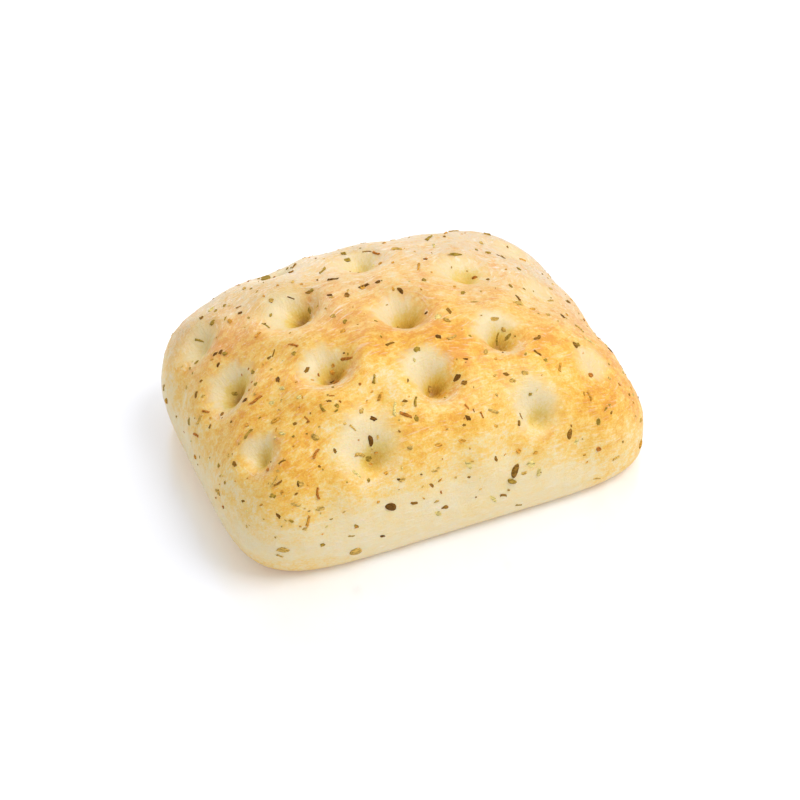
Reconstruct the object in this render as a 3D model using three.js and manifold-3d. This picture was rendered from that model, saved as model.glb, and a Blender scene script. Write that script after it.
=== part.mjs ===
// A small rectangular focaccia roll: a domed loaf pressed with staggered finger dimples and sprinkled
// with dried herbs and seeds, which are baked onto its crust.
// Millimetres, +Z up. X runs along the roll's length and Y across it.
// The origin is the centre of its flat base.
import * as THREE from "three";
import { mergeVertices } from "three/addons/utils/BufferGeometryUtils.js";
import Module from "manifold-3d";

// The loaf's driving sizes.
const LENGTH = 114.5;
const WIDTH = 85.5;
const HEIGHT = 46;
const WIDEST_LEVEL = 10.7; // height of the fullest part of the side, at mid length
const WIDEST_LEVEL_TILT = -0.52; // the -X end bulges higher up than the +X end
const PLAN_POWER = 5.5; // roundness of the outline: 2 is an ellipse, more is squarer
const DOME_POWER = 2.85; // roundness of the dome's section
const BASE_SHARE = 0.885; // the base's outline against the fullest outline

// How this loaf is uneven.
const BACK_RISE = 0.02; // the back is higher than the front
const END_DROOP = 0.25; // the two ends are lower than the middle
const CORNER_TWIST = 0.036; // two opposite corners are higher than the other two
const OUTLINE_LEAN = 0.021; // the back has slid along X
const END_TAPER = 0.031; // the +X end is narrower
const LUMP = 0.3; // height of the broad unevenness of the dough
const LUMP_LENGTH = 17; // distance from one lump to the next

// The dimples stand in columns across the roll, every other column shifted by half a pitch.
// A column runs from back to front, and each press is [shift x, shift y, depth, mouth radius, push along X].
const COLUMN_PITCH = 21.9;
const ROW_PITCH = 22.6;
const FIRST_COLUMN = -46.3;
const BACK_ROW = 31;
const PRESSES = [
  {
    offset: 0.5,
    column: [
      [-1.8, 0.2, 4, 5.6, 0.4],
      [-1, 2.2, 7.6, 6.4, 0.3],
      [-1.6, -0.2, 5.4, 4.6, 0.1],
    ],
  },
  {
    offset: 0,
    column: [
      [1.5, 0, 2.6, 5.4, 0.2],
      [-1.8, 1.4, 7.6, 6.6, 0.8],
      [-1.4, 0, 7.8, 6.2, 0.2],
      [1, -1.6, 5.8, 6.2, 0],
    ],
  },
  {
    offset: 0.5,
    column: [
      [-1.3, 0.8, 4.6, 6.2, 0],
      [0.3, -2.6, 8, 6.2, 0],
      [-0.5, -2.6, 7.4, 5.6, 0],
    ],
  },
  {
    offset: 0,
    column: [
      [2, 0.4, 1.6, 5, 0],
      [0.4, -2.2, 5.4, 6.6, -0.2],
      [-0.8, -5.4, 7.8, 5.8, -0.2],
      [1.2, -1.9, 5, 5.6, 0],
    ],
  },
  {
    offset: 0.5,
    column: [
      [-1.4, -0.8, 1.2, 5.4, -0.3],
      [-1.7, 2.6, 2.2, 5.6, -0.3],
      [-0.4, -3.6, 2.8, 5.2, -0.3],
    ],
  },
];
const BOWL_SHARE = 0.4; // how much of a press is the wide bowl; the rest is the fingertip's hole
const BOWL_FALL = 1.4;
const HOLE_RADIUS = 0.52; // in mouth radii
const HOLE_POWER = 2.5; // 2 is a cone with a soft tip, more is a flatter bottom
const SWELL = 0.3; // the dough pushed up round a deep dimple
const SWELL_AT = 1.5; // in mouth radii
const SWELL_WIDTH = 0.5;
const FULL_SWELL_DEPTH = 5; // a shallower press pushes up less

// How finely the crust is cut into faces.
const CUTS_X = 42;
const CUTS_Y = 32;
const CUTS_SIDE = 7;
const CUTS_UNDER = 3;

// Herbs and seeds: the length is from one value to the other, and the share says how many are of that kind.
const SEED = { share: 0.08, length: [2.2, 3.2], width: 1.3, thick: 0.9 };
const STALK = { share: 0.38, length: [1.7, 2.8], width: 0.65 };
const LEAF = { length: [1.2, 2], width: 1.1, thick: 0.6 };
const SINK = 0.45; // share of a flake's thickness that is baked into the crust
const FACES = [
  { place: (s, t) => [s, t, 1], flakes: 66 },
  { place: (s, t) => [s, -1, 0.5 + 0.45 * t], flakes: 15 },
  { place: (s, t) => [s, 1, 0.5 + 0.45 * t], flakes: 12 },
  { place: (s, t) => [-1, s, 0.5 + 0.45 * t], flakes: 11 },
  { place: (s, t) => [1, s, 0.5 + 0.45 * t], flakes: 8 },
];
const EDGE_MARGIN = 0.98; // keeps the flakes of one face off the next
const GOLDEN_X = 0.7548776662; // steps of an evenly spread sequence in the plane
const GOLDEN_Y = 0.5698402910;

const HALF_LENGTH = LENGTH / 2;
const HALF_WIDTH = WIDTH / 2;
const SECTION_SHARE = DOME_POWER / PLAN_POWER;
const TINY = 1e-12; // keeps a power of zero finite at the crown
const UP = new THREE.Vector3(0, 0, 1);

const widestLevelAt = (x) => WIDEST_LEVEL * (1 + (WIDEST_LEVEL_TILT * x) / HALF_LENGTH);

const planReach = (u, v) => Math.max(Math.abs(u) ** PLAN_POWER + Math.abs(v) ** PLAN_POWER, TINY);

// The smooth dome, in a direction from the middle of the widest level whose z is from 0 to 1: the point, the way
// out of the crust, and the point's share of the rise to the crown.
function smoothDome(direction) {
  const up = Math.max(direction.z, 0);
  const section = planReach(direction.x, direction.y) ** SECTION_SHARE + up ** DOME_POWER;
  const scale = section ** (-1 / DOME_POWER);
  const [u, v, rise] = [direction.x * scale, direction.y * scale, up * scale];
  const x = HALF_LENGTH * u;
  const level = widestLevelAt(x);
  const side = planReach(u, v) ** (SECTION_SHARE - 1);
  const outward = new THREE.Vector3(
    (side * Math.sign(u) * Math.abs(u) ** (PLAN_POWER - 1)) / HALF_LENGTH,
    (side * Math.sign(v) * Math.abs(v) ** (PLAN_POWER - 1)) / HALF_WIDTH,
    rise ** (DOME_POWER - 1) / (HEIGHT - level),
  ).normalize();
  return { point: new THREE.Vector3(x, HALF_WIDTH * v, level + (HEIGHT - level) * rise), outward, rise };
}

// The direction in which the smooth dome lies over a place on the floor.
function directionOver(x, y) {
  const u = x / HALF_LENGTH;
  const v = y / HALF_WIDTH;
  return new THREE.Vector3(u, v, (1 - planReach(u, v) ** SECTION_SHARE) ** (1 / DOME_POWER));
}

// Every dimple: its centre on the smooth dome, and the finger's way in, which is halfway between straight down
// and square to the crust and leans along X with its push.
const dimples = PRESSES.flatMap(({ offset, column }, c) =>
  column.map(([shiftX, shiftY, depth, radius, push], r) => {
    const x = FIRST_COLUMN + c * COLUMN_PITCH + shiftX;
    const y = BACK_ROW - (r + offset) * ROW_PITCH + shiftY;
    const { point, outward } = smoothDome(directionOver(x, y));
    const press = new THREE.Vector3(push, 0, 0).sub(UP).sub(outward).normalize();
    return { centre: point, press, depth, radius };
  }),
);

// How far the fingers have moved a point of the smooth dome.
function pressed(point) {
  const shift = new THREE.Vector3();
  for (const { centre, press, depth, radius } of dimples) {
    const t = point.distanceTo(centre) / radius;
    const bowl = Math.exp(-BOWL_FALL * t * t);
    const hole = 1 / (1 + (t / HOLE_RADIUS) ** HOLE_POWER);
    const ring = Math.exp(-(((t - SWELL_AT) / SWELL_WIDTH) ** 2));
    const swell = SWELL * Math.min(1, depth / FULL_SWELL_DEPTH) * ring;
    shift.addScaledVector(press, depth * (BOWL_SHARE * bowl + (1 - BOWL_SHARE) * hole) - swell);
  }
  return shift;
}

function lumpAt({ x, y }) {
  const k = (2 * Math.PI) / LUMP_LENGTH;
  const alongX = Math.sin(k * x + 1.3 * Math.sin(0.6 * k * y));
  const alongY = Math.sin(0.8 * k * y + 1.7 * Math.sin(0.5 * k * x));
  return LUMP * (alongX + alongY);
}

// The unevenness of the whole loaf, which leaves the base flat.
function unevened({ x, y, z }) {
  const u = x / HALF_LENGTH;
  const v = y / HALF_WIDTH;
  return new THREE.Vector3(
    x + OUTLINE_LEAN * y,
    y * (1 - END_TAPER * u),
    z * (1 + BACK_RISE * v + CORNER_TWIST * u * v - END_DROOP * u * u),
  );
}

// The crust above the widest level, where presses and lumps fade out.
function domePoint(direction) {
  const { point, outward, rise } = smoothDome(direction);
  const fade = THREE.MathUtils.smoothstep(rise, 0, 0.35);
  const moved = pressed(point).addScaledVector(outward, lumpAt(point));
  return unevened(point.clone().addScaledVector(moved, fade));
}

// The crust below the widest level; turn is from 0 there to a right angle at the base's edge.
function underPoint(direction, turn) {
  const { point } = smoothDome(direction);
  const drawnIn = 1 - (1 - BASE_SHARE) * (1 - Math.cos(turn));
  return unevened(point.multiply(new THREE.Vector3(drawnIn, drawnIn, 1 - Math.sin(turn))));
}

// The directions of a half box, cut into faces, without its underside.
function openHalfBox() {
  const box = new THREE.BoxGeometry(2, 2, 1, CUTS_X, CUTS_Y, CUTS_SIDE).translate(0, 0, 0.5);
  const underside = box.groups[5];
  const faces = Array.from(box.index.array);
  faces.splice(underside.start, underside.count);
  box.setIndex(faces);
  box.deleteAttribute("normal");
  box.deleteAttribute("uv");
  return mergeVertices(box, 1e-5);
}

// The crust as one closed mesh: the half box gives the dome, and rings and a fan close it below.
function crustGeometry() {
  const half = openHalfBox();
  const index = Array.from(half.index.array);
  const used = new Set(index);
  const points = [];
  let rim = [];
  for (let i = 0; i < half.getAttribute("position").count; i++) {
    const direction = new THREE.Vector3().fromBufferAttribute(half.getAttribute("position"), i);
    points.push(domePoint(direction));
    if (used.has(i) && Math.abs(direction.z) < 1e-6) rim.push({ corner: i, direction });
  }
  rim.sort((a, b) => Math.atan2(a.direction.y, a.direction.x) - Math.atan2(b.direction.y, b.direction.x));
  for (let k = 1; k <= CUTS_UNDER; k++) {
    const turn = ((Math.PI / 2) * k) / CUTS_UNDER;
    const ring = rim.map(({ direction }) => {
      const corner = points.push(underPoint(direction, turn)) - 1;
      return { corner, direction };
    });
    ring.forEach(({ corner: low }, j) => {
      const next = (j + 1) % ring.length;
      index.push(low, ring[next].corner, rim[next].corner, low, rim[next].corner, rim[j].corner);
    });
    rim = ring;
  }
  const middle = points.push(new THREE.Vector3()) - 1;
  rim.forEach(({ corner }, j) => index.push(middle, rim[(j + 1) % rim.length].corner, corner));
  return new THREE.BufferGeometry().setFromPoints(points).setIndex(index);
}

// An even draw from 0 to 1 that depends only on its two whole numbers.
function draw(n, salt) {
  const s = Math.sin(n * 12.9898 + salt * 78.233) * 43758.5453;
  return s - Math.floor(s);
}

// A flake lies along X with its flat side down.
function flakeGeometry(n) {
  const kind = draw(n, 1);
  const lengthOf = ({ length: [low, high] }) => THREE.MathUtils.lerp(low, high, draw(n, 2));
  if (kind < SEED.share) {
    return new THREE.IcosahedronGeometry(0.5, 0).scale(lengthOf(SEED), SEED.width, SEED.thick);
  }
  if (kind < SEED.share + STALK.share) {
    const stalk = new THREE.CylinderGeometry(0.4 * STALK.width, 0.5 * STALK.width, lengthOf(STALK), 5);
    return stalk.rotateZ(Math.PI / 2);
  }
  const leaf = new THREE.CylinderGeometry(0.4, 0.5, LEAF.thick, 6).rotateX(Math.PI / 2);
  return leaf.scale(lengthOf(LEAF), LEAF.width, 1);
}

// A flake set on the crust where a direction meets it, turned by an angle about the way out of the crust.
function placedFlake(n, direction, turn) {
  const nudge = 0.01;
  const here = domePoint(direction);
  const side = new THREE.Vector3(-direction.y, direction.x, 0).normalize();
  const other = new THREE.Vector3().crossVectors(direction, side).normalize();
  const alongSide = domePoint(direction.clone().addScaledVector(side, nudge)).sub(here);
  const alongOther = domePoint(direction.clone().addScaledVector(other, nudge)).sub(here);
  const up = new THREE.Vector3().crossVectors(alongSide, alongOther).normalize();
  const along = alongSide.normalize().applyAxisAngle(up, turn);
  const across = new THREE.Vector3().crossVectors(up, along);
  const geometry = flakeGeometry(n);
  geometry.computeBoundingBox();
  const thick = geometry.boundingBox.max.z - geometry.boundingBox.min.z;
  geometry.translate(0, 0, thick * (0.5 - SINK));
  return geometry.applyMatrix4(new THREE.Matrix4().makeBasis(along, across, up).setPosition(here));
}

// Every flake, spread evenly over each face of the half box.
function flakeGeometries() {
  const flakes = [];
  for (const { place, flakes: count } of FACES) {
    for (let k = 0; k < count; k++) {
      const n = flakes.length + 1;
      const s = 2 * ((0.5 + n * GOLDEN_X) % 1) - 1;
      const t = 2 * ((0.5 + n * GOLDEN_Y) % 1) - 1;
      const direction = new THREE.Vector3(...place(EDGE_MARGIN * s, EDGE_MARGIN * t));
      flakes.push(placedFlake(n, direction, Math.PI * draw(n, 3)));
    }
  }
  return flakes;
}

// A solid from a three.js geometry, for joining.
function solidOf(wasm, geometry) {
  geometry.deleteAttribute("normal");
  geometry.deleteAttribute("uv");
  const merged = mergeVertices(geometry, 1e-4);
  return new wasm.Manifold(
    new wasm.Mesh({
      numProp: 3,
      vertProperties: new Float32Array(merged.getAttribute("position").array),
      triVerts: new Uint32Array(merged.index.array),
    }),
  );
}

function focacciaGeometry(wasm) {
  const crust = solidOf(wasm, crustGeometry());
  const loaf = flakeGeometries().reduce((sum, flake) => sum.add(solidOf(wasm, flake)), crust);
  const mesh = loaf.getMesh();
  return new THREE.BufferGeometry()
    .setAttribute("position", new THREE.BufferAttribute(mesh.vertProperties, 3))
    .setIndex(new THREE.BufferAttribute(mesh.triVerts, 1));
}

const wasm = await Module();
wasm.setup();

const crustMaterial = new THREE.MeshStandardMaterial({ color: 0xf0c982, roughness: 0.45, metalness: 0 });
const focaccia = new THREE.Mesh(focacciaGeometry(wasm), crustMaterial);
focaccia.name = "focaccia";
focaccia.geometry.computeVertexNormals();

const roll = new THREE.Group();
roll.add(focaccia);

export default roll;
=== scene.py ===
# The looks of a small rectangular focaccia roll: a glazed, dimpled crust with dried herbs and seeds baked on.
# Lengths are in millimetres and turns in degrees, but meshes, lights and the camera's clipping are in metres.
import math

import bpy
import numpy as np
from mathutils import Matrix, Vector
from mathutils.bvhtree import BVHTree


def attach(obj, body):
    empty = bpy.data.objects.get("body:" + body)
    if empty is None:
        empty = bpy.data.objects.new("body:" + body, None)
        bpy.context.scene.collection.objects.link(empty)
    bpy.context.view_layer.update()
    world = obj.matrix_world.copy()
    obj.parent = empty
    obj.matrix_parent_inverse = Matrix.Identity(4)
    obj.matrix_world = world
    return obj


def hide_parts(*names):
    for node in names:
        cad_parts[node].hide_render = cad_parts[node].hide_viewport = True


MM = 0.001
TINY = 1e-12

# The loaf's driving sizes, as in its solid.
LENGTH = 114.5
WIDTH = 85.5
HEIGHT = 46
WIDEST_LEVEL = 10.7
WIDEST_LEVEL_TILT = -0.52
PLAN_POWER = 5.5
DOME_POWER = 2.85
BASE_SHARE = 0.885
BACK_RISE = 0.02
END_DROOP = 0.25
CORNER_TWIST = 0.036
OUTLINE_LEAN = 0.021
END_TAPER = 0.031
LUMP = 0.3
LUMP_LENGTH = 17
HALF_LENGTH = LENGTH / 2
HALF_WIDTH = WIDTH / 2
SECTION_SHARE = DOME_POWER / PLAN_POWER

# The dimples by column, as in its solid: shift x, shift y, depth, mouth radius and push along X.
COLUMN_PITCH = 21.9
ROW_PITCH = 22.6
FIRST_COLUMN = -46.3
BACK_ROW = 31
PRESSES = [
    (
        0.5,
        [
            (-1.8, 0.2, 4, 5.6, 0.4),
            (-1, 2.2, 7.6, 6.4, 0.3),
            (-1.6, -0.2, 5.4, 4.6, 0.1),
        ],
    ),
    (
        0,
        [
            (1.5, 0, 2.6, 5.4, 0.2),
            (-1.8, 1.4, 7.6, 6.6, 0.8),
            (-1.4, 0, 7.8, 6.2, 0.2),
            (1, -1.6, 5.8, 6.2, 0),
        ],
    ),
    (
        0.5,
        [
            (-1.3, 0.8, 4.6, 6.2, 0),
            (0.3, -2.6, 8, 6.2, 0),
            (-0.5, -2.6, 7.4, 5.6, 0),
        ],
    ),
    (
        0,
        [
            (2, 0.4, 1.6, 5, 0),
            (0.4, -2.2, 5.4, 6.6, -0.2),
            (-0.8, -5.4, 7.8, 5.8, -0.2),
            (1.2, -1.9, 5, 5.6, 0),
        ],
    ),
    (
        0.5,
        [
            (-1.4, -0.8, 1.2, 5.4, -0.3),
            (-1.7, 2.6, 2.2, 5.6, -0.3),
            (-0.4, -3.6, 2.8, 5.2, -0.3),
        ],
    ),
]
BOWL_SHARE = 0.4
BOWL_FALL = 1.4
HOLE_RADIUS = 0.52
HOLE_POWER = 2.5
SWELL = 0.3
SWELL_AT = 1.5
SWELL_WIDTH = 0.5
FULL_SWELL_DEPTH = 5

# Herbs and seeds that are part of the solid, as there.
SEED = {"share": 0.08, "length": (2.2, 3.2), "width": 1.3, "thick": 0.9}
STALK = {"share": 0.38, "length": (1.7, 2.8), "width": 0.65, "thick": 0.65}
LEAF = {"length": (1.2, 2.0), "width": 1.1, "thick": 0.6}
SINK = 0.45
FACES = [
    (lambda s, t: (s, t, 1), 66),
    (lambda s, t: (s, -1, 0.5 + 0.45 * t), 15),
    (lambda s, t: (s, 1, 0.5 + 0.45 * t), 12),
    (lambda s, t: (-1, s, 0.5 + 0.45 * t), 11),
    (lambda s, t: (1, s, 0.5 + 0.45 * t), 8),
]
EDGE_MARGIN = 0.98
GOLDEN_X = 0.7548776662
GOLDEN_Y = 0.5698402910

# How finely the visible crust is cut.
CUTS_X = 260
CUTS_Y = 190
CUTS_SIDE = 36
CUTS_UNDER = 8
CUTS_BASE = 4

# The camera that took the photograph: where it looks from, and the picture's frame.
VIEW_AZIMUTH = -23.6
VIEW_ELEVATION = 38.7
VIEW_DISTANCE = 500
AIM_SIDEWAYS = -0.4
AIM_HEIGHT = 12
PIXELS = 800
PIXELS_PER_MM = 3.856
SENSOR = 36
VIEW_CLIP = (0.01, 20)

# Crust colours, from pale dough to the darkest crust, the dough inside the dimples, from their walls to the
# bottom, darkened there by painted shade, a painted sheen, and the glaze's lines, partly painted highlights.
CRUST_COLOURS = [(0.0, "E7DAB8"), (0.25, "EBD49C"), (0.5, "EEC566"), (0.75, "E9B23F"), (1.0, "DF9728")]
DIMPLE_COLOURS_AND_SHADE = [(0.0, "E3D1A6"), (0.3, "DFC570"), (0.6, "D8B144"), (1.0, "AA781E")]
SHEEN_COLOUR = "DFC8A8"
GLAZE_LINES_AND_HIGHLIGHTS = "F6E7D2"

# Places where this roll is browner or paler than its rule says: x, y, z, reach and how much.
BROWNER = [
    (4, -24, 43, 8, 0.26),
    (25, -26, 39, 10, 0.18),
    (40, -35, 26, 11, 0.12),
    (-16, -27, 42, 8, -0.18),
    (-52, -26, 26, 7, -0.12),
    (-37, 6, 38, 6, 0.16),
    (-43, 15, 37, 8, 0.26),
    (-13, -15, 44, 7, 0.16),
    (-18, -2, 44, 7, 0.16),
    (-34, -36, 33, 7, -0.16),
    (37, -39, 22, 8, -0.12),
    (8, 6, 45, 8, -0.12),
    (31, -3, 39, 9, -0.12),
    (-22, 24, 41, 16, -0.12),
    (-41, -36, 31, 6, 0.06),
]

# The crust's fine relief, and where it fades in above the base.
WRINKLE_HEIGHT = 0.1
LUMPY_HEIGHT = 0.12
RELIEF_FADE = (2, 9)

# The pale walls of the dimples: how far they are shifted for a dimple as deep as WALL_SHIFT_DEPTH, and where
# they end, in mouth radii.
WALL_SHIFT = (-0.8, 1.8, 0)
WALL_PUSH_SHIFT = -5
WALL_UPHILL_SHIFT = 5
WALL_SHIFT_DEPTH = 8
WALL_SLOPE_STRETCH = 0.7
WALL_END = (0.35, 1.4)

# The dimples' own olive bottoms, darkened by painted shade: where it ends, in mouth radii, the depths that
# hold it, and its lean towards the near and +X walls, which are painted darker.
OLIVE_AND_SHADE_END = (0.0, 0.9)
OLIVE_AND_SHADE_DEPTHS = (2.6, 7.6)
SHADE_LEAN = (-0.3, 0.25)

# The painted sheen and highlights: where the sheen is painted, up the crust and towards the back, and the
# painted highlights on the dimples' near rims.
BACK_SHEEN_HEIGHTS = (24, 37)
SHEEN_AND_HIGHLIGHT_HEIGHTS = (14, 26)
SHEEN_BACK = (-22, 34)
SHEEN_SLANT = 0.25
NO_SHEEN_END = (-28, -44)
NO_SHEEN_SIDE = (26, 14)
RIM_HIGHLIGHT = {"at": 1.05, "width": 0.25, "share": 0.6, "depths": (2, 6)}

# The pale low band: its edge's height, how far that falls over each stretch along X, and how it fades.
LOW_EDGE = 23
LOW_EDGE_FALLS = [(15, (5, 45)), (4, (-30, -50))]
LOW_EDGE_FADE = (-8, 12)

# How brown each part of the crust is, and where that part is. Blotches have a share, a size and a seed.
PALE_DOUGH = 0.2
TOP_BROWN = 0.54
FAR_END = {"brown": 0.06, "where": (10, 50)}
# The back is paler: a painted sheen.
BACK = {"pale": 0.2, "where": (6, 34)}
FOOT = {"brown": 0.32, "heights": (10, 3), "ends": (22, 50)}
BASE = {"brown": 0.4, "heights": (0.8, 0.1)}
BLOTCHES = [(0.22, 15, 31), (0.16, 4.5, 41)]
STREAKS = 0.09
WALL_PALE = 0.2

# Herb colours: dark, brown, red brown, orange, olive, tan and pale green.
DARK, BROWN, RED, ORANGE, OLIVE, TAN, PALE = (k / 6 for k in range(7))
HERB_COLOURS = [
    (DARK, "664212"),
    (BROWN, "866020"),
    (RED, "AE6C26"),
    (ORANGE, "C89036"),
    (OLIVE, "987C2C"),
    (TAN, "C09A4C"),
    (PALE, "D2BE76"),
]

# Herbs that stand out in the photograph, by pixel: x, y, length, width and turn in the picture in degrees.
# The photograph's blur has widened them.
BLUR = 0.8
SEEN_SEEDS = {
    DARK: [
        (390.5, 507.4, 11, 7.5, -20), (400, 291, 9, 4.5, -50), (370, 441, 11.5, 5, -80),
    ],
    BROWN: [
        (515.7, 470.8, 15.5, 6.5, 75), (570, 434, 11.5, 5, 85), (575, 345, 8, 4, -60),
    ],
    TAN: [
        (355.6, 552, 12.5, 6, 10),
    ],
}
SEEN_LEAVES = {
    DARK: [
        (240, 313, 6, 4, 20), (377.5, 282, 6, 4.5, 50), (278, 379.5, 6, 5, -70), (220.5, 352, 5, 5, 0),
        (215, 354, 7.5, 3, 35), (218, 365, 6, 4, 50), (562.5, 316, 5, 3.5, -20), (426, 313, 5, 3, 40),
        (438.6, 336.6, 6.5, 4.5, -20), (457, 377.5, 9.5, 5, 50), (610, 350, 7.5, 4, -60),
        (245, 400, 6, 3, 30), (329, 401, 6.5, 3, 0), (373, 418.5, 7.5, 5, -15),
        (400, 480, 6.5, 4, -15), (298, 484.5, 6, 3, -70), (383, 536, 5.5, 3, 0),
        (278.5, 516, 7, 4, -60), (468, 418, 7.5, 4.5, -50), (344, 353, 3, 2.5, 0), (425, 259, 5, 3, 0),
        (466, 359, 6, 2.5, -10), (408, 380.5, 5, 2.5, 80), (330, 295, 6.5, 3, -5),
    ],
    BROWN: [
        (309, 292, 7.5, 4, 0), (347, 295, 6.5, 6, 0), (307, 370, 9, 5, 55), (269, 358, 6, 3.6, 40),
        (201, 318, 5, 4, 0), (201, 381, 5, 3, 45), (196, 395, 7.5, 4, 80), (506, 374, 6.5, 4.5, -10),
        (210, 426, 6, 3, 70), (222, 414, 4.5, 4, 0), (295, 424, 5, 4, 0), (243, 501, 4.5, 3.5, 0),
        (496, 459, 6.5, 4, -70), (445.6, 507, 8, 4, 20), (469, 477, 4.5, 3, 0), (464, 425, 4.5, 4, 0),
        (431.5, 485, 7, 4, -50), (449, 311, 7.5, 4, -60), (414, 503, 9, 3.5, 0), (405, 401, 7, 4, 0),
    ],
    ORANGE: [
        (343, 331, 6, 4.5, 0), (439, 445, 8.5, 4.5, 0), (462, 441, 8, 5, 0), (535.6, 453, 6, 4, 0),
        (496, 426, 4.5, 4, 0), (533, 309, 7, 3, 0), (461, 329, 4, 2, 0), (584.5, 455, 3.5, 3, 0),
    ],
    OLIVE: [
        (347, 260, 10, 5, 0), (266, 278, 11, 7, 0), (235, 394, 10, 5, 0), (508, 337, 9.5, 4.5, 40),
        (189, 421.5, 7, 4.5, 80), (337, 406, 6, 4.5, -60), (273, 496, 7, 5, 0),
        (322.5, 544.6, 5.5, 4.5, 0), (417, 349, 7.5, 6, 0), (368, 459, 9, 6, 0),
        (356.5, 526, 5, 4, -45), (455.5, 254.5, 15, 4, 0),
    ],
    TAN: [
        (333, 316, 6.5, 4.5, 0), (518.5, 303, 10, 5, 0), (525, 373, 7, 6, 0), (494.5, 319, 10, 5, 0),
        (320, 509, 8, 6, 0), (283, 550, 12, 6, 0), (434, 471, 9, 3, 0), (524, 473, 8, 4, 20),
    ],
    PALE: [
        (438, 317, 8, 6.5, 0), (272, 403, 6, 5, 0), (299, 397, 6, 5, 0), (469, 466, 11, 5, -60),
        (531, 464, 9, 7, -30), (576, 442, 7.5, 4.5, 60), (493, 498.6, 10, 5.5, -45),
        (438, 513.5, 8, 6, -45),
    ],
}
SEEN_STALKS = {
    DARK: [
        (333, 279, 10.5, 2.5, 5), (364, 286, 10.5, 3.5, 25), (333, 381, 7.5, 2.3, 35),
        (291, 298, 8, 2, -20),
    ],
    RED: [
        (256, 400, 13, 3.5, 40), (406, 415, 12, 4, -20), (306, 418.5, 10, 2.5, -40),
        (293, 345.5, 10, 3, -10), (346.5, 358.5, 12.5, 3.6, 5), (482, 415, 7, 2.5, -65),
        (467, 407, 7, 2.5, -50), (332, 396, 6, 2, 0),
    ],
    BROWN: [
        (273.5, 353, 8, 2, 75), (278, 483, 9, 3, 30), (282, 462, 7.5, 2.3, 30),
        (503.6, 495.6, 7, 3, -5), (521, 416, 7, 1.8, -65), (501, 256.5, 10, 1.5, -25),
        (367, 252, 10, 2, 0), (239, 307, 6.5, 2, 20),
    ],
    OLIVE: [
        (266, 326, 9.5, 2, -35), (200, 341, 11.5, 3, -15), (498, 339, 13, 3, 85), (429, 238, 9, 3, 45),
        (164, 387.5, 6, 2, 75), (518.5, 505, 6.5, 2, 0), (351.5, 536, 6.5, 2, 0),
    ],
    TAN: [
        (397, 249, 10, 3, 0), (199, 420, 10, 3, 65), (353, 428, 8, 2.5, -45), (280, 556, 7, 2.5, -25),
        (296, 504, 9, 3.5, -20), (475, 302, 8.5, 2, 0), (597, 478.7, 8, 2, 0), (360, 455.5, 9, 4, -10),
    ],
    PALE: [
        (589, 341, 13, 2, -30), (395, 409, 12, 4, 85), (357, 474, 10, 3, -40), (539, 472, 7, 4, 85),
    ],
}
SEEN = {"seeds": SEEN_SEEDS, "leaves": SEEN_LEAVES, "stalks": SEEN_STALKS}
SEEN_THICK = {"seeds": 0.42, "leaves": 0.2, "stalks": 0.5}
LEAST_FACING = 0.45

# Fine dust of herbs.
SPECKS = 520
SPECK_LENGTH = (0.5, 1.3)
SPECK_THICK = 0.35

# Herbs are numbered for their draws: the fused ones from 1, the seen ones and the dust from here.
FIRST_SEEN = 1001
FIRST_SPECK = 2001

# The studio: floor size and white, and each light's place and size in metres, and its power in watts.
FLOOR_HALF = 3000
FLOOR_WHITE = "EFF1F8"
FLOOR_GLOW = 0.14
WORLD_STRENGTH = 0.69
LIGHTS = {
    "key": {"place": (0.45, -0.32, 0.9), "size": 0.6, "power": 7},
    "back_light": {"place": (0.0, 1.1, 0.32), "size": 0.8, "power": 3.2},
}
LIGHT_AIM = (0, 0, 0.02)


def linear(colour):
    """A hex colour as linear red, green and blue, with full alpha."""
    parts = [int(colour[i : i + 2], 16) / 255 for i in (0, 2, 4)]
    return [p / 12.92 if p <= 0.04045 else ((p + 0.055) / 1.055) ** 2.4 for p in parts] + [1.0]


def smoothstep(low, high, value):
    t = np.clip((value - low) / (high - low), 0, 1)
    return t * t * (3 - 2 * t)


def unit(vectors):
    return vectors / np.linalg.norm(vectors, axis=-1, keepdims=True)


# Noise.

HASH_STEPS = np.array([374761393, 668265263, 1274126177])
HASH_SEED_STEP = 974634777
CLOUD_SHARES = (1, 0.5, 0.25)


def lattice_value(cell, seed):
    """An even draw from -1 to 1 for each whole-numbered cell corner."""
    mixed = cell @ HASH_STEPS + seed * HASH_SEED_STEP
    mixed = (mixed ^ (mixed >> 13)) * HASH_STEPS[2] & 0xFFFFFFFF
    return ((mixed ^ (mixed >> 16)) & 0xFFFF) / 32767.5 - 1


def noise(points, size, seed):
    """Smooth noise from -1 to 1 whose features are about as large as size."""
    scaled = points / size
    cell = np.floor(scaled).astype(np.int64)
    part = scaled - cell
    part = part * part * (3 - 2 * part)
    total = np.zeros(len(points))
    for corner in np.ndindex(2, 2, 2):
        share = np.prod(np.where(corner, part, 1 - part), axis=1)
        total += share * lattice_value(cell + corner, seed)
    return total


def cloudy(points, size, seed):
    """Noise with two finer noises on it, still from -1 to 1."""
    layers = [share * noise(points, size * share, seed + k) for k, share in enumerate(CLOUD_SHARES)]
    return sum(layers) / sum(CLOUD_SHARES)


# The loaf's form.


def plan_reach(u, v):
    return np.maximum(np.abs(u) ** PLAN_POWER + np.abs(v) ** PLAN_POWER, TINY)


def widest_level_at(x):
    return WIDEST_LEVEL * (1 + WIDEST_LEVEL_TILT * x / HALF_LENGTH)


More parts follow.
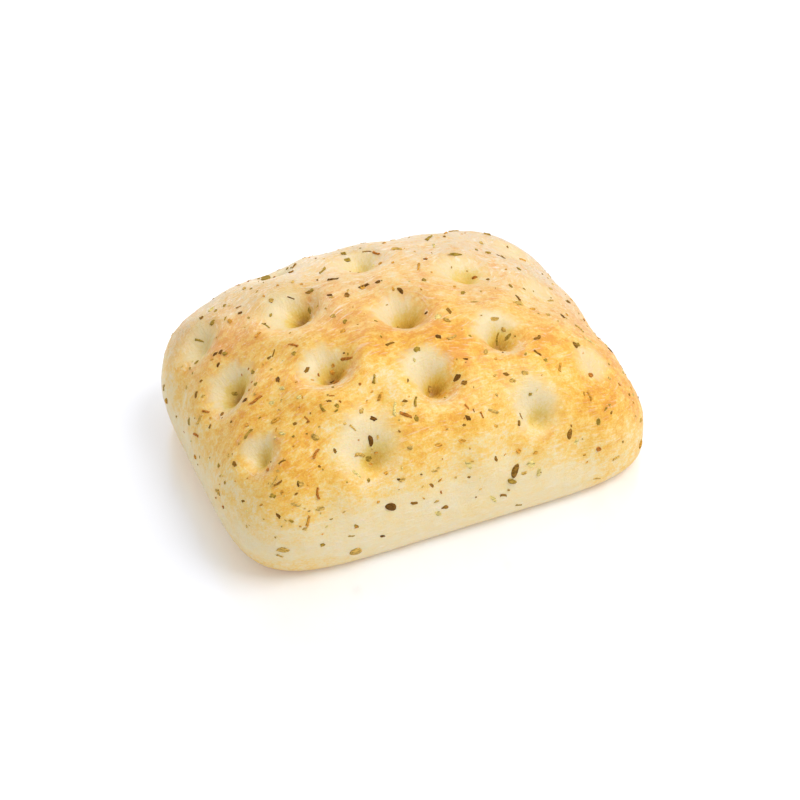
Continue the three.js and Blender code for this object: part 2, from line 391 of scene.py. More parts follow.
def smooth_dome(directions):
    """The dome before it is pressed, in directions from the middle of the widest level.

    Gives the points, the ways out of the crust and the points' shares of the rise to the crown.
    """
    up = np.maximum(directions[:, 2], 0)
    section = plan_reach(directions[:, 0], directions[:, 1]) ** SECTION_SHARE + up**DOME_POWER
    scale = section ** (-1 / DOME_POWER)
    u, v, rise = directions[:, 0] * scale, directions[:, 1] * scale, up * scale
    x = HALF_LENGTH * u
    level = widest_level_at(x)
    side = plan_reach(u, v) ** (SECTION_SHARE - 1)
    outward = np.stack(
        [
            side * np.sign(u) * np.abs(u) ** (PLAN_POWER - 1) / HALF_LENGTH,
            side * np.sign(v) * np.abs(v) ** (PLAN_POWER - 1) / HALF_WIDTH,
            rise ** (DOME_POWER - 1) / (HEIGHT - level),
        ],
        axis=1,
    )
    return np.stack([x, HALF_WIDTH * v, level + (HEIGHT - level) * rise], axis=1), unit(outward), rise


def direction_over(x, y):
    """The direction in which the smooth dome lies over a place on the floor."""
    u, v = x / HALF_LENGTH, y / HALF_WIDTH
    return np.array([[u, v, (1 - plan_reach(u, v) ** SECTION_SHARE) ** (1 / DOME_POWER)]])


def dimples():
    """Each dimple's centre on the smooth dome, the ways out and in there, its depth and its mouth radius."""
    for column, (offset, presses) in enumerate(PRESSES):
        for row, (shift_x, shift_y, depth, radius, push) in enumerate(presses):
            x = FIRST_COLUMN + column * COLUMN_PITCH + shift_x
            y = BACK_ROW - (row + offset) * ROW_PITCH + shift_y
            point, outward, _ = smooth_dome(direction_over(x, y))
            yield point[0], outward[0], unit([push, 0, -1] - outward[0]), depth, radius


DIMPLES = list(dimples())


def pressed(points):
    """How far the fingers have moved points of the smooth dome."""
    shift = np.zeros_like(points)
    for centre, _, press, depth, radius in DIMPLES:
        t = np.linalg.norm(points - centre, axis=1) / radius
        bowl = np.exp(-BOWL_FALL * t * t)
        hole = 1 / (1 + (t / HOLE_RADIUS) ** HOLE_POWER)
        ring = np.exp(-(((t - SWELL_AT) / SWELL_WIDTH) ** 2))
        swell = SWELL * min(1, depth / FULL_SWELL_DEPTH) * ring
        shift += (depth * (BOWL_SHARE * bowl + (1 - BOWL_SHARE) * hole) - swell)[:, None] * press
    return shift


def lump_at(points):
    k = 2 * math.pi / LUMP_LENGTH
    x, y = points[:, 0], points[:, 1]
    along_x = np.sin(k * x + 1.3 * np.sin(0.6 * k * y))
    along_y = np.sin(0.8 * k * y + 1.7 * np.sin(0.5 * k * x))
    return LUMP * (along_x + along_y)


def unevened(points):
    u, v = points[:, 0] / HALF_LENGTH, points[:, 1] / HALF_WIDTH
    return np.stack(
        [
            points[:, 0] + OUTLINE_LEAN * points[:, 1],
            points[:, 1] * (1 - END_TAPER * u),
            points[:, 2] * (1 + BACK_RISE * v + CORNER_TWIST * u * v - END_DROOP * u * u),
        ],
        axis=1,
    )


def dome_points(directions):
    """The crust above the widest level, where presses and lumps fade out."""
    points, outward, rise = smooth_dome(directions)
    moved = pressed(points) + outward * lump_at(points)[:, None]
    return unevened(points + moved * smoothstep(0, 0.35, rise)[:, None])


def under_points(directions, turn, base_share=1):
    """The crust below the widest level, for a turn from 0 there to a right angle at the base's edge."""
    points, _, _ = smooth_dome(directions)
    drawn_in = (1 - (1 - BASE_SHARE) * (1 - math.cos(turn))) * base_share
    return unevened(points * [drawn_in, drawn_in, 1 - math.sin(turn)])


# The crust's mesh.


def top_grid():
    s, t = np.meshgrid(np.linspace(-1, 1, CUTS_X + 1), np.linspace(-1, 1, CUTS_Y + 1), indexing="ij")
    return np.stack([s.ravel(), t.ravel(), np.ones(s.size)], axis=1)


def top_numbers():
    """The numbers of the top grid's points, by row and column."""
    return np.arange((CUTS_X + 1) * (CUTS_Y + 1)).reshape(CUTS_X + 1, CUTS_Y + 1)


def rim_loop():
    """The numbers of the top grid's edge points, anticlockwise from above."""
    number = top_numbers()
    return np.concatenate([number[:-1, 0], number[-1, :-1], number[:0:-1, -1], number[0, :0:-1]])


def crust_shape():
    """The crust's points, its faces, and the points of the smooth dome that they come from."""
    grid = top_grid()
    rim = grid[rim_loop()] * [1, 1, 0]
    pressed_rows = [grid] + [rim + [0, 0, 1 - k / CUTS_SIDE] for k in range(1, CUTS_SIDE + 1)]
    rows = [dome_points(row) for row in pressed_rows]
    plain = [smooth_dome(row)[0] for row in pressed_rows]
    below = [under_points(rim, math.pi / 2 * k / CUTS_UNDER) for k in range(1, CUTS_UNDER + 1)]
    below += [under_points(rim, math.pi / 2, 1 - k / CUTS_BASE) for k in range(1, CUTS_BASE)]
    below.append([[0, 0, 0]])
    return np.concatenate(rows + below), crust_faces(len(rows + below) - 1), np.concatenate(plain + below)


def crust_faces(count):
    """The faces of the top grid, of the bands between the rows under it, and of the base's middle."""
    number = top_numbers()
    faces = quads(number[:-1, :-1], number[1:, :-1], number[1:, 1:], number[:-1, 1:])
    above = rim_loop()
    low = number.size + np.arange(len(above))
    for _ in range(count - 1):
        faces += quads(above, low, np.roll(low, -1), np.roll(above, -1))
        above, low = low, low + len(low)
    middle = low[0]
    return faces + [[int(middle), b, a] for a, b in zip(above.tolist(), np.roll(above, -1).tolist())]


def quads(*corners):
    return np.stack([c.ravel() for c in corners], axis=1).tolist()


def new_mesh(name, points, faces, smooth=True):
    """A mesh object from points in millimetres."""
    mesh = bpy.data.meshes.new(name)
    mesh.from_pydata((np.asarray(points) * MM).tolist(), [], faces)
    mesh.polygons.foreach_set("use_smooth", [smooth] * len(mesh.polygons))
    mesh.update()
    piece = bpy.data.objects.new(name, mesh)
    bpy.context.scene.collection.objects.link(piece)
    return piece


def add_attribute(piece, name, values):
    piece.data.attributes.new(name, "FLOAT", "POINT").data.foreach_set("value", values.astype(np.float32))


def add_places(piece, name, places):
    """Places in millimetres, for a texture to lie over."""
    data = piece.data.attributes.new(name, "FLOAT_VECTOR", "POINT").data
    data.foreach_set("vector", (places * MM).astype(np.float32).ravel())


def nearest_dimple(plain):
    """For each point: the way from the nearest dimple's centre, its length in mouth radii, and the depth."""
    shares = np.stack([np.linalg.norm(plain - centre, axis=1) / radius for centre, *_, radius in DIMPLES])
    nearest = shares.argmin(axis=0)
    centres = np.array([centre for centre, *_ in DIMPLES])[nearest]
    depths = np.array([depth for *_, depth, _ in DIMPLES])[nearest]
    return plain - centres, shares.min(axis=0), depths


def wall_at(plain):
    """From 0 on the ridges to 1 on the pale walls of a deep dimple, which flare out up the slope."""
    wall = np.zeros(len(plain))
    ragged = 0.16 * cloudy(plain, size=3.5, seed=61) + 0.10 * noise(plain, size=9, seed=64)
    for n, (centre, outward, press, depth, radius) in enumerate(DIMPLES):
        uphill = np.array([0, 0, 1]) - outward * outward[2]
        shift = WALL_SHIFT + np.array([WALL_PUSH_SHIFT * press[0], 0, 0]) + WALL_UPHILL_SHIFT * uphill
        way = plain - centre - shift * depth / WALL_SHIFT_DEPTH
        t = np.linalg.norm(way, axis=1) / (radius * (1 + WALL_SLOPE_STRETCH * (1 - outward[2])))
        flare = 0.18 * noise(unit(way) * 3 + n, size=1, seed=65)
        flare += 0.12 * noise(unit(way) * 8 + n, size=1, seed=66)
        pale = 1 - smoothstep(*WALL_END, t + ragged + t * flare)
        wall = np.maximum(wall, min(1, 0.5 + depth / 14) * pale)
    return wall


def painted_sheen_at(plain, wall):
    """From 0 to 1 on a painted sheen at the back and painted highlights on the near rims of the dimples."""
    x, y, z = plain.T
    no_sheen = 0.6 * smoothstep(*NO_SHEEN_END, x) * smoothstep(*NO_SHEEN_SIDE, y)
    far = y + SHEEN_SLANT * x + 7 * cloudy(plain, size=9, seed=81)
    # Painted sheen, towards the back and high up the crust.
    back = smoothstep(*SHEEN_BACK, far) * smoothstep(*BACK_SHEEN_HEIGHTS, z)
    way, share, depth = nearest_dimple(plain)
    # Painted highlights on the near sides of the dimples' rims, the sides that face the camera.
    near = np.clip(-way[:, 1] / np.maximum(np.linalg.norm(way, axis=1), TINY), 0, 1)
    rim = RIM_HIGHLIGHT["share"] * near * np.exp(-(((share - RIM_HIGHLIGHT["at"]) / RIM_HIGHLIGHT["width"]) ** 2))
    rim *= smoothstep(*RIM_HIGHLIGHT["depths"], depth)
    return np.maximum(back * (1 - no_sheen) * (1 - 0.8 * wall), rim) * smoothstep(*SHEEN_AND_HIGHLIGHT_HEIGHTS, z)


def olive_and_shade_at(plain):
    """From 0 at the mouth of a deep dimple to 1 at its bottom: its own olive, darkened by painted shade."""
    way, share, depth = nearest_dimple(plain)
    lean = way / np.maximum(np.linalg.norm(way, axis=1, keepdims=True), TINY)
    # The lean paints more shade on the near and +X walls.
    reach = share * (1 + lean[:, :2] @ SHADE_LEAN) + 0.12 * cloudy(plain, size=2.5, seed=71)
    return (1 - smoothstep(*OLIVE_AND_SHADE_END, reach)) * smoothstep(*OLIVE_AND_SHADE_DEPTHS, depth)


def line_noise(points, seed):
    """Thin crests, from -1 between them to 1 on them."""
    return 1 - 2.6 * np.abs(noise(points, size=1, seed=seed))


def stream_at(plain):
    """Places along and across a stream that runs along the roll and parts round the dimples."""
    along, across = plain[:, 0].copy(), plain[:, 1].copy()
    for centre, *_, radius in DIMPLES:
        way = plain - centre
        pull = radius**2 / np.maximum((way**2).sum(axis=1), radius**2)
        along += pull * way[:, 0]
        across -= pull * way[:, 1]
    return np.column_stack([along, across + 1.6 * noise(plain, size=8, seed=11), plain[:, 2]])


def rays_at(plain):
    """Places round and out from the nearest dimple's centre."""
    way, share, _ = nearest_dimple(plain)
    turn = way[:, :2] / np.maximum(np.linalg.norm(way[:, :2], axis=1, keepdims=True), TINY)
    return np.column_stack([turn * 6, share * 1.4])


def wrinkle_at(plain, stream, rays):
    """Fine wrinkles of the glaze, from -1 to 1: along the stream, and down into each dimple."""
    stretched = stream / [7, 1.5, 1.9]
    lines = 0.6 * line_noise(stretched, 21) + 0.4 * line_noise(stretched * [1.7, 1.9, 1.9], 22)
    inside = 1 - smoothstep(0.75, 1.3, nearest_dimple(plain)[1])
    return np.clip(lines * (1 - inside) + noise(rays, size=1.1, seed=23) * inside, -1, 1)


def browning_at(points, wall, wrinkle):
    """How brown the crust is: 0 is pale dough, 1 is the darkest crust."""
    x, y, z = points.T
    low_edge = LOW_EDGE - sum(fall * smoothstep(*where, x) for fall, where in LOW_EDGE_FALLS)
    height = smoothstep(*LOW_EDGE_FADE, z - low_edge)
    top = TOP_BROWN * height + FAR_END["brown"] * smoothstep(*FAR_END["where"], x) * height
    # Paler towards the back and high up: painted sheen.
    back = BACK["pale"] * smoothstep(*BACK["where"], y) * smoothstep(*BACK_SHEEN_HEIGHTS, z)
    foot = FOOT["brown"] * smoothstep(*FOOT["heights"], z) * smoothstep(*FOOT["ends"], np.abs(x))
    base = BASE["brown"] * smoothstep(*BASE["heights"], z)
    own = sum(by * np.exp(-((points - place) ** 2).sum(axis=1) / reach**2) for *place, reach, by in BROWNER)
    blotches = sum(share * cloudy(points, size, seed) for share, size, seed in BLOTCHES)
    blotches *= 0.4 + 0.6 * height
    streaks = STREAKS * wrinkle * (0.3 + 0.7 * height)
    return np.clip(PALE_DOUGH + top - back + foot + base + own + blotches - streaks - WALL_PALE * wall, 0, 1)


def make_crust():
    points, faces, plain = crust_shape()
    crust = new_mesh("crust", points, faces)
    wall, stream, rays = wall_at(plain), stream_at(plain), rays_at(plain)
    wrinkle = wrinkle_at(plain, stream, rays)
    normals = np.zeros(len(points) * 3)
    crust.data.vertices.foreach_get("normal", normals)
    lumpy = LUMPY_HEIGHT * cloudy(points, size=3.2, seed=51)
    relief = (WRINKLE_HEIGHT * wrinkle * (1 - 0.7 * wall) + lumpy) * smoothstep(*RELIEF_FADE, points[:, 2])
    moved = points + normals.reshape(-1, 3) * relief[:, None]
    crust.data.vertices.foreach_set("co", (moved * MM).ravel())
    crust.data.update()
    add_attribute(crust, "wall", wall)
    # The dimples' own olive with painted shade, deeper towards their bottoms.
    add_attribute(crust, "depth", np.clip(olive_and_shade_at(plain) + 0.03 * wrinkle * wall, 0, 1))
    # The painted sheen and the painted rim highlights.
    add_attribute(crust, "painted_sheen", painted_sheen_at(plain, wall))
    add_places(crust, "stream", stream)
    add_places(crust, "rays", rays)
    add_attribute(crust, "browning", browning_at(points, wall, wrinkle))
    return crust, BVHTree.FromPolygons(moved.tolist(), faces)


# Herbs and seeds. Each lies along X with its flat side down, and its colour is a tint from 0 to 1.


def draw(n, salt):
    """An even draw from 0 to 1 that depends only on its two whole numbers."""
    s = math.sin(n * 12.9898 + salt * 78.233) * 43758.5453
    return s - math.floor(s)


def between(limits, share):
    return limits[0] + (limits[1] - limits[0]) * share


def rings_mesh(rings):
    """Points and faces of a closed body from its rings of equal length, from its first end to its last."""
    count = len(rings[0])
    points = np.concatenate(rings + [[np.mean(rings[0], axis=0), np.mean(rings[-1], axis=0)]])
    first, last = len(points) - 2, len(points) - 1
    faces = []
    for k in range(len(rings) - 1):
        for i in range(count):
            j = (i + 1) % count
            faces.append([k * count + i, k * count + j, (k + 1) * count + j, (k + 1) * count + i])
    for i in range(count):
        j = (i + 1) % count
        faces.append([first, j, i])
        faces.append([last, (len(rings) - 1) * count + i, (len(rings) - 1) * count + j])
    return points, faces


def seed_form(n, length, width, thick):
    """A ribbed oval seed, a little bent."""
    angles = np.linspace(0, 2 * math.pi, 20, endpoint=False)
    ribs = 1 + 0.09 * np.cos(5 * angles)
    rings = []
    for t in np.linspace(-0.97, 0.97, 11):
        girth = (1 - abs(t) ** 2.3) ** 0.6 * 0.5
        bend = (0.10 + 0.1 * draw(n, 5)) * width * (1 - t * t)
        round_y, round_z = girth * ribs * np.cos(angles), girth * ribs * np.sin(angles)
        ring = [np.full(20, t * length / 2), width * round_y + bend, thick * round_z]
        rings.append(np.stack(ring, axis=1))
    return rings_mesh(rings)


def stalk_form(n, length, width, thick):
    """A bent, tapered piece of stalk with broken ends."""
    angles = np.linspace(0, 2 * math.pi, 7, endpoint=False)
    rings = []
    for k, t in enumerate(np.linspace(-1, 1, 6)):
        girth = 0.5 * (1 - 0.12 * t) * (0.8 + 0.35 * draw(n, 10 + k))
        bend = (draw(n, 5) - 0.5) * 0.22 * length * (1 - t * t)
        broken = 0.25 * width * np.cos(angles + 6 * draw(n, 6)) if abs(t) == 1 else 0 * angles
        round_y, round_z = girth * np.cos(angles), girth * np.sin(angles)
        ring = [t * length / 2 + broken, width * round_y + bend, thick * round_z]
        rings.append(np.stack(ring, axis=1))
    return rings_mesh(rings)


def leaf_form(n, length, width, thick):
    """A curled scrap of dried leaf with a ragged edge."""
    angles = np.linspace(0, 2 * math.pi, 11, endpoint=False)
    ragged = np.array([0.66 + 0.6 * draw(n, 20 + k) for k in range(11)]) * 0.5
    fold = (draw(n, 5) - 0.5) * 1.2 * thick
    rings = []
    for share, level in ((0.6, -0.5), (0.95, -0.4), (1.0, 0.1), (0.8, 0.36), (0.3, 0.3)):
        u, v = ragged * np.cos(angles) * share, ragged * np.sin(angles) * share
        lift = thick * level + fold * (np.abs(v) - 0.2)
        rings.append(np.stack([length * u, width * v, lift], axis=1))
    return rings_mesh(rings)


class Flakes:
    """One kind of herb: its form, and every one of its flakes on the crust."""

    def __init__(self, name, form):
        self.name, self.form = name, form
        self.points, self.faces, self.tints = [], [], []
        self.count = 0

    def add(self, n, size, place, axes, tint):
        """Sets a flake into the crust; the axes are along it, across it and out of the crust."""
        points, faces = self.form(n, *size)
        points = points + [0, 0, size[2] * (0.5 - SINK)]
        self.faces += [[self.count + i for i in face] for face in faces]
        self.points.append(place + points @ np.array(axes))
        self.tints.append(np.full(len(points), tint + 0.05 * (draw(n, 7) - 0.5)))
        self.count += len(points)

    def make(self, material):
        piece = new_mesh(self.name, np.concatenate(self.points), self.faces, smooth=self.form is seed_form)
        add_attribute(piece, "tint", np.concatenate(self.tints))
        piece.data.materials.append(material)
        return piece


def axes_for(along, up):
    """Square axes: along the flake, across it and out of the crust."""
    up = unit(up)
    across = unit(np.cross(up, along))
    return np.cross(across, up), across, up


def on_dome(direction):
    """The crust in a direction, and the way along its side and out of it."""
    nudge = 0.01
    direction = np.array(direction, dtype=float)
    side = unit(np.array([-direction[1], direction[0], 0]))
    other = unit(np.cross(direction, side))
    nearby = np.array([direction, direction + nudge * side, direction + nudge * other])
    here, there, beyond = dome_points(nearby)
    return here, there - here, np.cross(there - here, beyond - here)


def turned(along, across, angle):
    return along * math.cos(angle) + across * math.sin(angle)


def even_place(n):
    """The n-th of places spread evenly over a square from -1 to 1."""
    return [2 * ((0.5 + n * step) % 1) - 1 for step in (GOLDEN_X, GOLDEN_Y)]


def crust_at(place, s, t):
    """The crust at a place of a face: the point, and the ways along it, across it and out of it."""
    here, along, up = on_dome(place(EDGE_MARGIN * s, EDGE_MARGIN * t))
    return here, *axes_for(along, up)


def fused_flakes(kinds):
    """The herbs and seeds of the solid, by the rule that lays them there."""
    places = [place for place, count in FACES for _ in range(count)]
    for n, place in enumerate(places, start=1):
        here, along, across, up = crust_at(place, *even_place(n))
        kind, sizes = kind_of(draw(n, 1), kinds)
        size = (between(sizes["length"], draw(n, 2)), sizes["width"], sizes["thick"])
        axes = axes_for(turned(along, across, math.pi * draw(n, 3)), up)
        kind.add(n, size, here, axes, tint_of(n, kind.name))


def kind_of(share, kinds):
    if share < SEED["share"]:
        return kinds["seeds"], SEED
    if share < SEED["share"] + STALK["share"]:
        return kinds["stalks"], STALK
    return kinds["leaves"], LEAF


def tint_of(n, kind):
    """Seeds are from brown to tan, and the rest has any herb colour, most of it light."""
    if kind == "seeds":
        return between((BROWN, TAN), draw(n, 4))
    return (BROWN, RED, ORANGE, ORANGE, OLIVE, OLIVE, TAN, TAN, TAN, PALE)[int(draw(n, 4) * 10)]


def seen_flakes(kinds, crust_tree):
    """The herbs and seeds that stand out in the photograph, where it shows them."""
    n = FIRST_SEEN
    for kind, tinted in SEEN.items():
        for tint, flakes in tinted.items():
            for x, y, length, width, turn in flakes:
                place, up = under_pixel(crust_tree, x, y)
                along = lying(picture_way(turn, length - BLUR), up)
                across = np.linalg.norm(lying(picture_way(turn + 90, width - BLUR), up))
                size = (np.linalg.norm(along), across, SEEN_THICK[kind] * across)
                kinds[kind].add(n, size, place, axes_for(along, up), tint)
                n += 1


def under_pixel(crust_tree, x, y):
    """The crust's point and outward way under a pixel of the photograph."""
    back, right, up = view_axes()
    eye = right * AIM_SIDEWAYS + Vector((0, 0, AIM_HEIGHT)) + back * VIEW_DISTANCE
    way = right * (x - PIXELS / 2) + up * (PIXELS / 2 - y) - back * PIXELS_PER_MM * VIEW_DISTANCE
    place, outward, _, _ = crust_tree.ray_cast(eye, way.normalized())
    return np.array(place), np.array(outward)


def picture_way(turn, pixels):
    """A way in the plane of the picture, turned from its right towards its top."""
    _, right, up = view_axes()
    angle = math.radians(turn)
    return np.array(right * math.cos(angle) + up * math.sin(angle)) * pixels / PIXELS_PER_MM


def lying(way, up):
    """The way over the crust that looks like a way in the picture, where up is the way out of the crust."""
    back = np.array(view_axes()[0])
    return way - back * (way @ up) / max(back @ up, LEAST_FACING)


def specks(kind):
    """Fine dust of herbs, thicker on the top and towards the -X end."""
    for n in range(FIRST_SPECK, FIRST_SPECK + SPECKS):
        s, t = even_place(n)
        place = FACES[int(draw(n, 8) ** 2.2 * 5)][0]
        if draw(n, 9) > 0.75 - 0.55 * s:
            continue
        here, along, across, up = crust_at(place, s, t)
        length = between(SPECK_LENGTH, draw(n, 2) ** 1.6)
        size = (length, length * (0.35 + 0.5 * draw(n, 12)), SPECK_THICK)
        axes = axes_for(turned(along, across, math.pi * draw(n, 3)), up)
        kind.add(n, size, here, axes, tint_of(n, kind.name))


def make_herbs(crust_tree):
    kinds = {
        "seeds": Flakes("seeds", seed_form),
        "leaves": Flakes("leaves", leaf_form),
        "stalks": Flakes("stalks", stalk_form),
        "specks": Flakes("specks", leaf_form),
    }
    fused_flakes(kinds)
    seen_flakes(kinds, crust_tree)
    specks(kinds["specks"])
    return [kind.make(herb_material(kind.name)) for kind in kinds.values()]


# Materials.


class Nodes:
    """A material's node tree with short ways to add to it."""

    def __init__(self, name):
        self.material = bpy.data.materials.new(name)
        self.material.use_nodes = True
        self.tree = self.material.node_tree
        self.shader = self.tree.nodes["Principled BSDF"]

    def add(self, kind, **settings):
        node = self.tree.nodes.new(kind)
        for key, value in settings.items():
            setattr(node, key, value)
        return node

    def put(self, socket, value):
        """Links an output, or sets a plain value."""
        if isinstance(value, bpy.types.NodeSocket):
            self.tree.links.new(value, socket)
        else:
            socket.default_value = value

    def attribute(self, name):
        return self.add("ShaderNodeAttribute", attribute_name=name).outputs["Fac"]

    def math(self, operation, *values):
        node = self.add("ShaderNodeMath", operation=operation)
        for socket, value in zip(node.inputs, values):
            self.put(socket, value)
        return node.outputs[0]

    def spread(self, value, limits, to=(0.0, 1.0)):
        """Carries a value from between one pair of limits to between another, smoothly."""
        node = self.add("ShaderNodeMapRange", interpolation_type="SMOOTHSTEP")
        names = ("Value", "From Min", "From Max", "To Min", "To Max")
        for name, number in zip(names, (value, *limits, *to)):
            self.put(node.inputs[name], number)
        return node.outputs[0]

    def places(self, name):
        """Places kept on the mesh under a name, or else its own coordinates."""
        if name:
            return self.add("ShaderNodeAttribute", attribute_name=name).outputs["Vector"]
        return self.add("ShaderNodeTexCoord").outputs["Object"]

    def noise(self, size, detail=2.0, roughness=0.5, stretch=(1, 1, 1), over=None):
        """Noise with features about as large as size in millimetres, drawn out by stretch."""
        place = self.add("ShaderNodeMapping", vector_type="TEXTURE")
        place.inputs["Scale"].default_value = stretch
        self.put(place.inputs["Vector"], self.places(over))
        texture = self.add("ShaderNodeTexNoise")
        self.put(texture.inputs["Vector"], place.outputs[0])
        texture.inputs["Scale"].default_value = 1 / (size * MM)
        texture.inputs["Detail"].default_value = detail
        texture.inputs["Roughness"].default_value = roughness
        return texture.outputs["Fac"]

    def ramp(self, value, stops):
        node = self.add("ShaderNodeValToRGB")
        elements = node.color_ramp.elements
        for _ in stops[2:]:
            elements.new(0.5)
        for element, (position, colour) in zip(elements, stops):
            element.position = position
            element.color = linear(colour)
        self.put(node.inputs["Fac"], value)
        return node.outputs["Color"]

    def mix(self, share, first, second, blend="MIX"):
        """Mixes two colours, whose sockets are found by number, as others share their names."""
        node = self.add("ShaderNodeMix", data_type="RGBA", blend_type=blend)
        self.put(node.inputs["Factor"], share)
        self.put(node.inputs[6], first)
        self.put(node.inputs[7], second)
        return node.outputs[2]

    def put_plain(self, **values):
        """Sets plain values on the shader; an underscore stands for a space in a socket's name."""
        for name, value in values.items():
            self.shader.inputs[name.replace("_", " ")].default_value = value

    def bump(self, height, distance, under=None):
        """The way out of a surface that a height lifts by up to a distance in millimetres."""
        node = self.add("ShaderNodeBump")
        node.inputs["Strength"].default_value = 1.0
        node.inputs["Distance"].default_value = distance * MM
        self.put(node.inputs["Height"], height)
        if under is not None:
            self.put(node.inputs["Normal"], under)
        return node.outputs["Normal"]


def crust_material():
    nodes = Nodes("crust")
    grain = nodes.spread(nodes.noise(0.6, detail=3, roughness=0.65), (0.34, 0.66), to=(-0.13, 0.11))
    mottle = crust_mottle(nodes, grain)
    lines = nodes.noise(0.5, detail=3, roughness=0.6, stretch=(6, 1, 1), over="stream")
    rays = nodes.noise(0.7, detail=3, roughness=0.55, over="rays")
    # The glaze's pale lines, partly pale crests of their own and partly painted highlights, are stronger
    # where the sheen is painted.
    lines_share = nodes.math("MULTIPLY_ADD", nodes.attribute("painted_sheen"), 0.5, 0.32)
    wall = nodes.math("ADD", nodes.attribute("wall"), nodes.math("MULTIPLY", mottle, 0.7))
    wall = nodes.spread(wall, (0.1, 0.95), to=(0.0, 0.95))
    thin_lines = nodes.math("MULTIPLY", nodes.spread(lines, (0.53, 0.7)), lines_share)
    outside = ridge_colour(nodes, mottle, thin_lines)
    nodes.put(nodes.shader.inputs["Base Color"], nodes.mix(wall, outside, dimple_colour_and_shade(nodes, grain, rays)))
    nodes.put(nodes.shader.inputs["Roughness"], nodes.spread(nodes.noise(2.5), (0.3, 0.7), to=(0.42, 0.6)))
    nodes.put_plain(Specular_IOR_Level=0.4, Coat_Weight=0.2, Coat_Roughness=0.3)
    nodes.put_plain(Subsurface_Weight=0.22, Subsurface_Radius=(1.0, 0.5, 0.2), Subsurface_Scale=1.8 * MM)
    rough = nodes.bump(nodes.noise(0.45, detail=3, roughness=0.6), 0.1)
    lined = nodes.bump(nodes.math("MULTIPLY", lines, lines_share), 0.5, under=rough)
    rayed = nodes.bump(nodes.math("MULTIPLY", rays, wall), 0.06, under=lined)
    nodes.put(nodes.shader.inputs["Normal"], rayed)
    return nodes.material


def crust_mottle(nodes, grain):
    """Flecks, patches and grain: how much browner or paler than around it each spot of the crust is."""
    flecks = nodes.noise(1.8, detail=5, roughness=0.65, stretch=(1.3, 1, 1))
    flecks = nodes.spread(flecks, (0.34, 0.6), to=(-0.19, 0.08))
    patches = nodes.spread(nodes.noise(4.5, detail=3, roughness=0.6), (0.35, 0.65), to=(-0.1, 0.1))
    return nodes.math("ADD", nodes.math("ADD", flecks, patches), grain)


def ridge_colour(nodes, mottle, lines):
    """The colour of the crust between the dimples: browned, with painted sheen, and glaze lines, partly
    painted highlights.
    """
    browning = nodes.attribute("browning")
    brown_mottle = nodes.math("MULTIPLY", mottle, nodes.spread(browning, (0.2, 0.55), to=(0.4, 1.0)))
    browned = nodes.ramp(nodes.math("ADD", browning, brown_mottle), CRUST_COLOURS)
    patchy_share = nodes.math("MULTIPLY_ADD", mottle, -1.5, 0.75)
    painted_sheen = nodes.math("MULTIPLY", nodes.attribute("painted_sheen"), patchy_share)
    # Mixes in the painted sheen, then the glaze lines, which are partly painted highlights.
    return nodes.mix(lines, nodes.mix(painted_sheen, browned, linear(SHEEN_COLOUR)), linear(GLAZE_LINES_AND_HIGHLIGHTS))


def dimple_colour_and_shade(nodes, grain, rays):
    """The colour inside the dimples: their own olive, darker the further down with painted shade."""
    down = nodes.math("ADD", nodes.attribute("depth"), nodes.spread(rays, (0.3, 0.7), to=(-0.06, 0.06)))
    return nodes.ramp(nodes.math("ADD", down, nodes.math("MULTIPLY", grain, 0.6)), DIMPLE_COLOURS_AND_SHADE)


def herb_material(name):
    nodes = Nodes(name)
    fleck = nodes.noise(0.35, roughness=0.6, stretch=(3, 1, 1))
    fleck = nodes.spread(fleck, (0.3, 0.7), to=(0.6, 1.5))
    colour = nodes.ramp(nodes.attribute("tint"), HERB_COLOURS)
    nodes.put(nodes.shader.inputs["Base Color"], nodes.mix(1.0, colour, fleck, blend="MULTIPLY"))
    nodes.put(nodes.shader.inputs["Roughness"], nodes.spread(nodes.noise(0.8), (0.3, 0.7), to=(0.55, 0.8)))
    nodes.put_plain(Specular_IOR_Level=0.1)
    fibres = nodes.noise(0.25, roughness=0.6, stretch=(4, 1, 1))
    nodes.put(nodes.shader.inputs["Normal"], nodes.bump(fibres, 0.06))
    return nodes.material


def floor_material():
    """White gloss, lit a little from below like a studio's light table."""
    nodes = Nodes("floor")
    nodes.put_plain(Base_Color=linear(FLOOR_WHITE), Metallic=0.25, Roughness=0.2)
    nodes.put_plain(Emission_Color=(1, 1, 1, 1), Emission_Strength=FLOOR_GLOW)
    return nodes.material


# The studio.


def view_axes():
    """The ways back to the camera, right and up in the picture."""
    azimuth, elevation = math.radians(VIEW_AZIMUTH), math.radians(VIEW_ELEVATION)
    flat = math.cos(elevation)
    back = Vector((math.sin(azimuth) * flat, -math.cos(azimuth) * flat, math.sin(elevation)))
    right = Vector((math.cos(azimuth), math.sin(azimuth), 0))
    return back, right, back.cross(right)


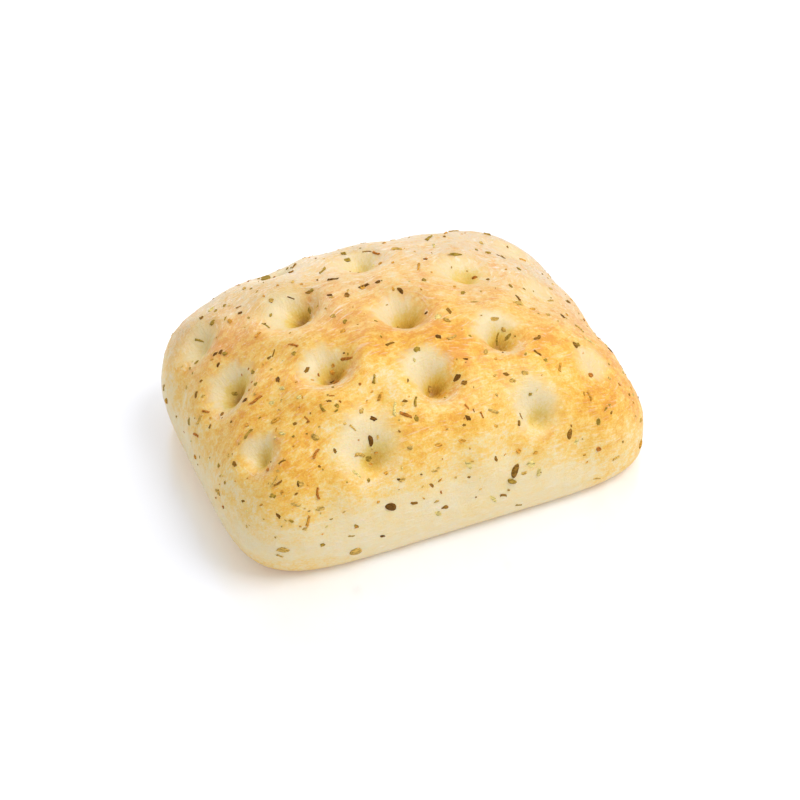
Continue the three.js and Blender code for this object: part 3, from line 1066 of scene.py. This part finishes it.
def make_camera():
    back, right, _ = view_axes()
    data = bpy.data.cameras.new("camera")
    data.sensor_width = SENSOR
    data.lens = PIXELS_PER_MM * VIEW_DISTANCE / PIXELS * SENSOR
    data.clip_start, data.clip_end = VIEW_CLIP
    camera = bpy.data.objects.new("camera", data)
    camera.location = (right * AIM_SIDEWAYS + Vector((0, 0, AIM_HEIGHT)) + back * VIEW_DISTANCE) * MM
    camera.rotation_euler = (-back).to_track_quat("-Z", "Y").to_euler()
    bpy.context.scene.collection.objects.link(camera)
    bpy.context.scene.camera = camera


def make_floor():
    half = FLOOR_HALF
    corners = [(-half, -half, 0), (half, -half, 0), (half, half, 0), (-half, half, 0)]
    floor = new_mesh("floor", corners, [[0, 1, 2, 3]])
    floor.data.materials.append(floor_material())


def make_light(name, place, size, power):
    """A square soft white light, aimed at the roll."""
    data = bpy.data.lights.new(name, "AREA")
    data.size = size
    data.energy = power
    light = bpy.data.objects.new(name, data)
    light.location = place
    light.rotation_euler = (Vector(LIGHT_AIM) - Vector(place)).to_track_quat("-Z", "Y").to_euler()
    bpy.context.scene.collection.objects.link(light)


def make_studio():
    world = bpy.data.worlds.new("studio")
    world.use_nodes = True
    background = world.node_tree.nodes["Background"]
    background.inputs["Color"].default_value = (1, 1, 1, 1)
    background.inputs["Strength"].default_value = WORLD_STRENGTH
    bpy.context.scene.world = world
    bpy.context.scene.view_settings.view_transform = "Standard"
    for name, light in LIGHTS.items():
        make_light(name, **light)


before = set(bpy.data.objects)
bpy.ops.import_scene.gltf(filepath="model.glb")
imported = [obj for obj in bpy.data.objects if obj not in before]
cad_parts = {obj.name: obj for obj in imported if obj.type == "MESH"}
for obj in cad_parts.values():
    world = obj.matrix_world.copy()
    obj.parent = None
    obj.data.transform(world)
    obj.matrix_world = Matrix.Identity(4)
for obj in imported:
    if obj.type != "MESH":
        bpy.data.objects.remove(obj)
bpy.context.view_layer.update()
make_camera()
make_floor()
make_studio()
crust, crust_tree = make_crust()
crust.data.materials.append(crust_material())
herbs = make_herbs(crust_tree)
for piece in [crust, *herbs]:
    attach(piece, "root")
    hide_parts("focaccia")
